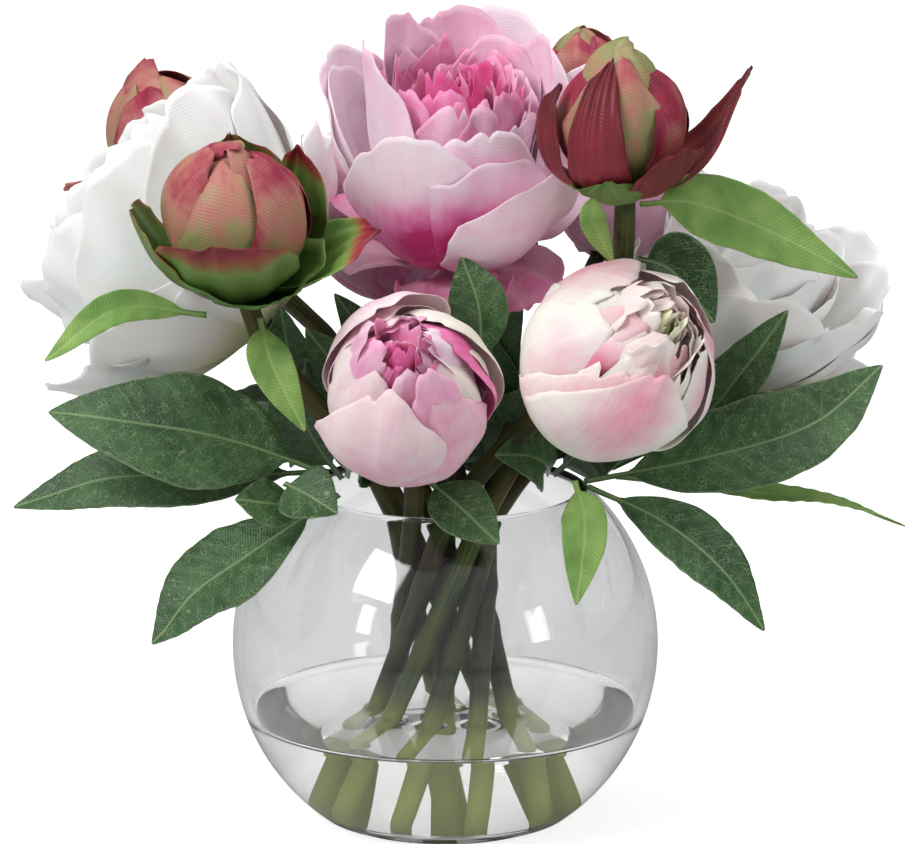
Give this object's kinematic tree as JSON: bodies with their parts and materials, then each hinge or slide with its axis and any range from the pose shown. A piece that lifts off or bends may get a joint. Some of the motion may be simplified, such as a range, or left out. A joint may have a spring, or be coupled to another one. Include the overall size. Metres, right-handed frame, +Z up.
{
  "type": "peony bouquet in a glass vase",
  "caption": "Hand-tied bunch of fabric peony blooms, buds and leaves standing in clear set water in a round clear glass bowl vase.",
  "frame": {"origin": "centre of the vase's flat foot, on the surface it stands on", "axes": "+Z up, -Y towards the side the bunch is arranged to be seen from, +X to that viewer's right"},
  "size_m": [0.3305, 0.243, 0.2947],
  "materials": {
    "glass": "gloss",
    "water": "gloss",
    "stem": "satin",
    "leaf_dark": "satin",
    "leaf_light": "matte",
    "sepal": "matte",
    "bud_red": "satin",
    "petal_white": "matte",
    "petal_pink": "matte",
    "petal_cream": "matte",
    "heart_pink": "matte",
    "heart_cream": "matte"
  },
  "bodies": {
    "root": {"bloom_back_pink_heart": "heart_pink", "bloom_back_pink_outer_petals": "petal_pink", "bloom_back_pink_sepals": "sepal", "bloom_back_small_heart": "heart_pink", "bloom_back_small_outer_petals": "petal_pink", "bloom_front_cream_heart": "heart_cream", "bloom_front_cream_outer_petals": "petal_cream", "bloom_front_cream_sepals": "sepal", "bloom_front_pink_heart": "heart_pink", "bloom_front_pink_outer_petals": "petal_pink", "bloom_front_pink_sepals": "sepal", "bloom_left_white_heart": "petal_white", "bloom_left_white_outer_petals": "petal_white", "bloom_left_white_sepals": "sepal", "bloom_right_white_heart": "petal_white", "bloom_right_white_outer_petals": "petal_white", "bloom_right_white_sepals": "sepal", "bloom_top_pink_heart": "heart_pink", "bloom_top_pink_inner_petals": "petal_pink", "bloom_top_pink_outer_petals": "petal_pink", "bloom_top_pink_sepals": "sepal", "bract_front_hanging": "leaf_light", "bract_left_hanging": "leaf_light", "bract_left_long": "leaf_light", "bract_right_long": "leaf_light", "bract_right_short": "leaf_light", "bud_back_left_red": "bud_red", "bud_back_right_red": "bud_red", "bud_left_red": "bud_red", "bud_left_red_sepals": "sepal", "bud_right_red": "bud_red", "bud_right_red_sepals": "sepal", "leaf_left_lower": "leaf_dark", "leaf_left_middle": "leaf_dark", "leaf_left_small_front": "leaf_dark", "leaf_left_small_side": "leaf_dark", "leaf_left_upper": "leaf_dark", "leaf_middle_low": "leaf_dark", "leaf_middle_upright": "leaf_dark", "leaf_right_long": "leaf_dark", "leaf_right_lower": "leaf_dark", "leaf_right_middle": "leaf_dark", "leaf_right_shaded": "leaf_dark", "leaf_right_upper": "leaf_dark", "leaf_spray_back_left": "leaf_dark", "leaf_spray_back_middle": "leaf_dark", "leaf_spray_back_right": "leaf_dark", "set_water": "water", "stem_back_left_red": "stem", "stem_back_pink": "stem", "stem_back_small": "stem", "stem_front_cream": "stem", "stem_front_pink": "stem", "stem_left_red": "stem", "stem_left_white": "stem", "stem_right_red": "stem", "stem_right_white": "stem", "stem_top_pink": "stem", "vase_bowl": "glass"}
  },
  "joints": []
}
